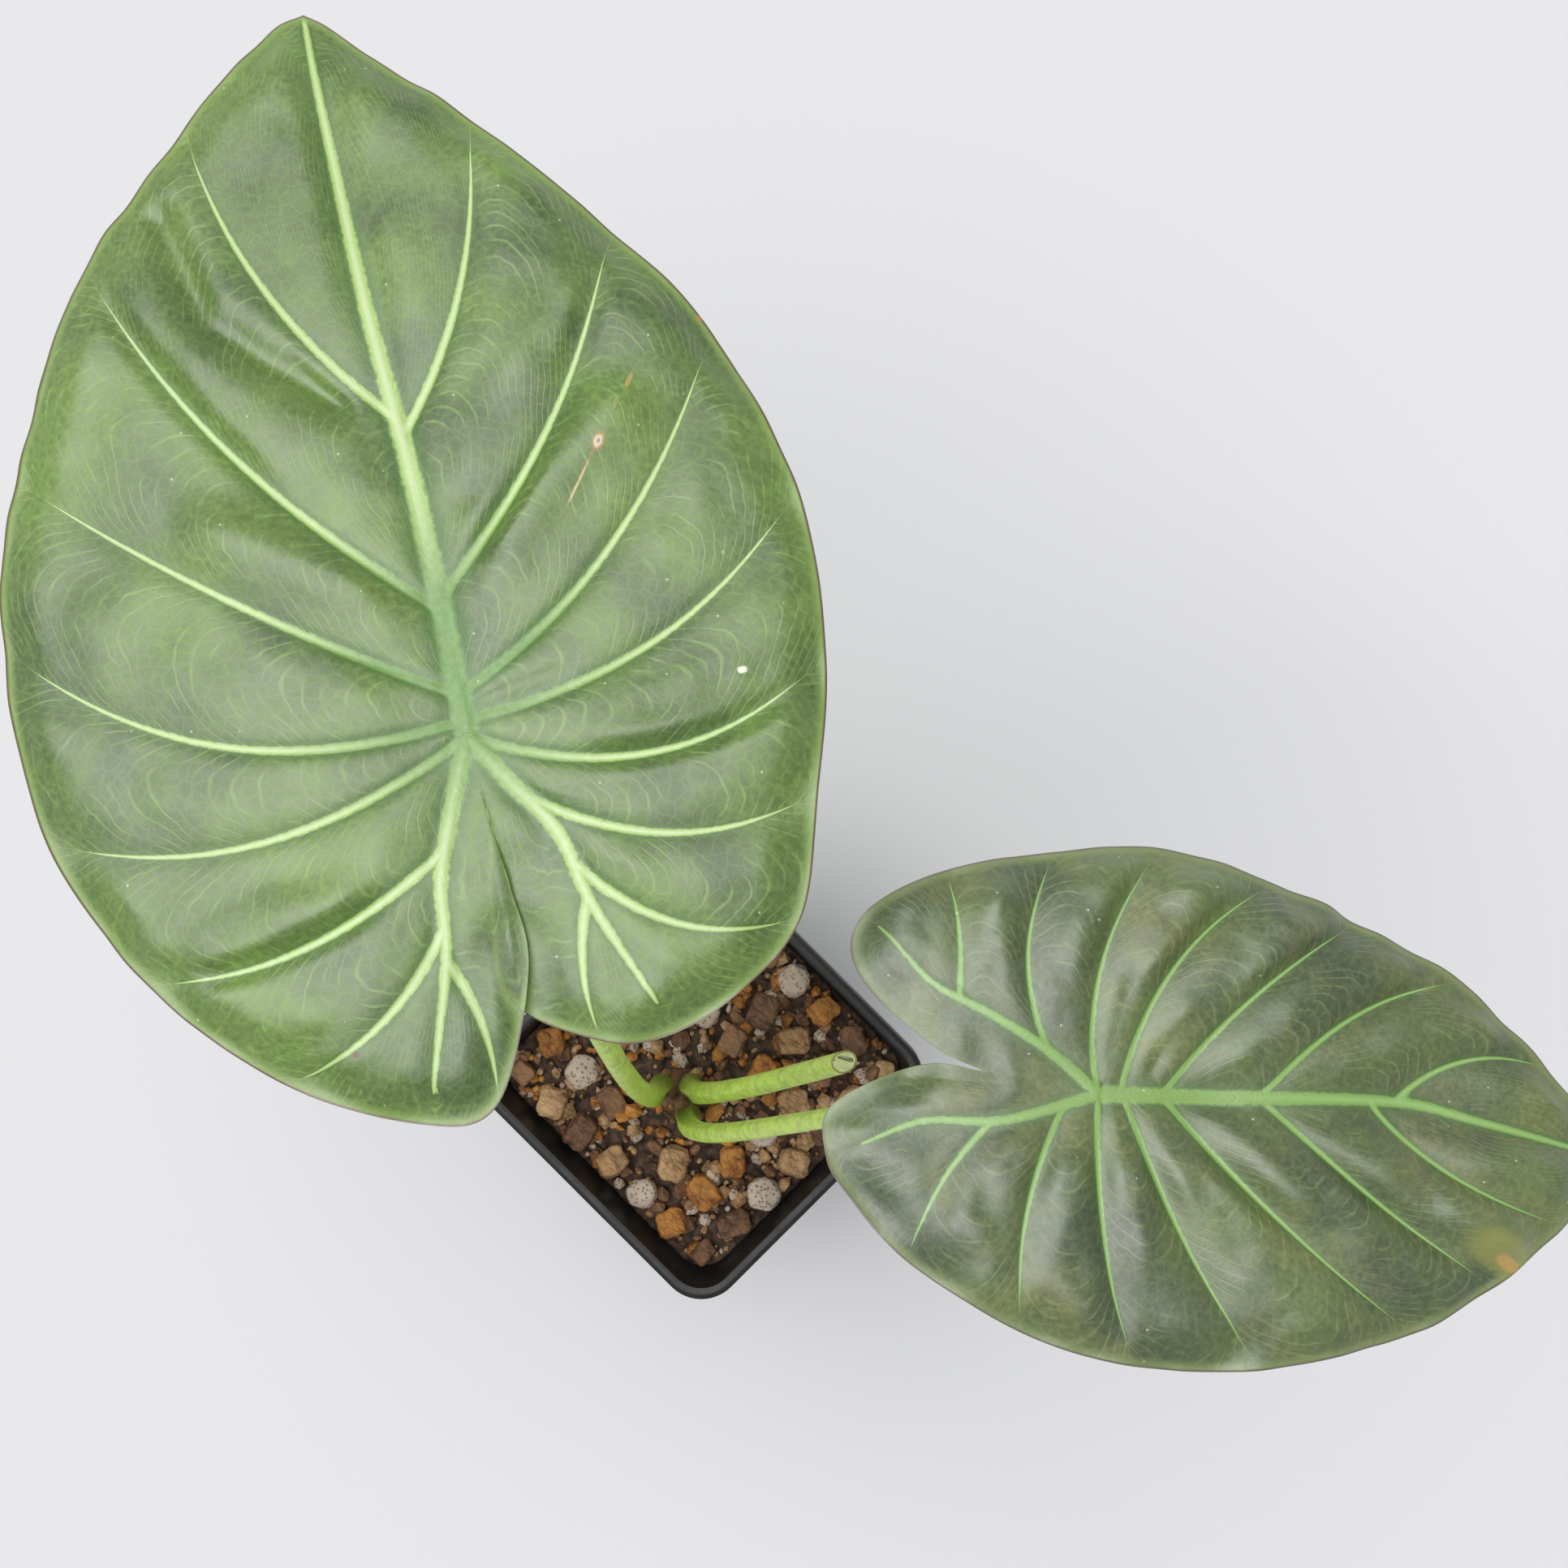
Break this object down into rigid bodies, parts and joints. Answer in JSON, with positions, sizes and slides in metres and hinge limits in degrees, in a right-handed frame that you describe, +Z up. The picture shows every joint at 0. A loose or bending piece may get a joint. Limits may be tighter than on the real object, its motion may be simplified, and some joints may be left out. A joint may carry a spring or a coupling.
{
  "type": "potted alocasia",
  "caption": "Young alocasia with a large and a smaller arrow-shaped leaf and a cut stalk, rooted in bark mix in a square tapered nursery pot.",
  "frame": {"origin": "centre of the pot's underside", "axes": "+Z up, X and Y along the square pot's sides"},
  "size_m": [0.3221, 0.1927, 0.3026],
  "materials": {
    "pot_plastic": "satin black injection-moulded plastic",
    "potting_mix": "dark crumbly bark and peat mix",
    "bark_brown": "rough brown pine bark",
    "bark_tan": "rough tan pine bark",
    "bark_amber": "rough amber pine bark",
    "pumice": "porous pale pinkish stone",
    "corm_skin": "fibrous brown skin",
    "stalk": "smooth waxy yellow-green stalk",
    "large_blade": "satin dark green leaf with pale green veins",
    "small_blade": "satin olive green leaf with bright green veins"
  },
  "bodies": {
    "root": {"bark_chip_01": "bark_brown", "bark_chip_02": "bark_brown", "bark_chip_03": "bark_brown", "bark_chip_04": "bark_brown", "bark_chip_05": "bark_brown", "bark_chip_06": "bark_brown", "bark_chip_07": "bark_brown", "bark_chip_08": "bark_brown", "bark_chip_09": "bark_brown", "bark_chip_10": "bark_brown", "bark_chip_11": "bark_brown", "bark_chip_12": "bark_brown", "bark_chip_13": "bark_brown", "bark_chip_14": "bark_brown", "bark_chip_15": "bark_brown", "bark_chip_amber_01": "bark_amber", "bark_chip_amber_02": "bark_amber", "bark_chip_amber_03": "bark_amber", "bark_chip_amber_04": "bark_amber", "bark_chip_amber_05": "bark_amber", "bark_chip_amber_06": "bark_amber", "bark_chip_amber_07": "bark_amber", "bark_chip_amber_08": "bark_amber", "bark_chip_tan_01": "bark_tan", "bark_chip_tan_02": "bark_tan", "bark_chip_tan_03": "bark_tan", "bark_chip_tan_04": "bark_tan", "bark_chip_tan_05": "bark_tan", "bark_chip_tan_06": "bark_tan", "bark_chip_tan_07": "bark_tan", "bark_chip_tan_08": "bark_tan", "bark_chip_tan_09": "bark_tan", "bark_chip_tan_10": "bark_tan", "bark_chip_tan_11": "bark_tan", "bark_chip_tan_12": "bark_tan", "blade_large": "large_blade", "blade_small": "small_blade", "corm": "corm_skin", "petiole_large": "stalk", "petiole_small": "stalk", "petiole_stub": "stalk", "pot": "pot_plastic", "pumice_01": "pumice", "pumice_02": "pumice", "pumice_03": "pumice", "pumice_04": "pumice", "pumice_05": "pumice", "pumice_06": "pumice", "pumice_07": "pumice", "substrate": "potting_mix"}
  },
  "joints": []
}
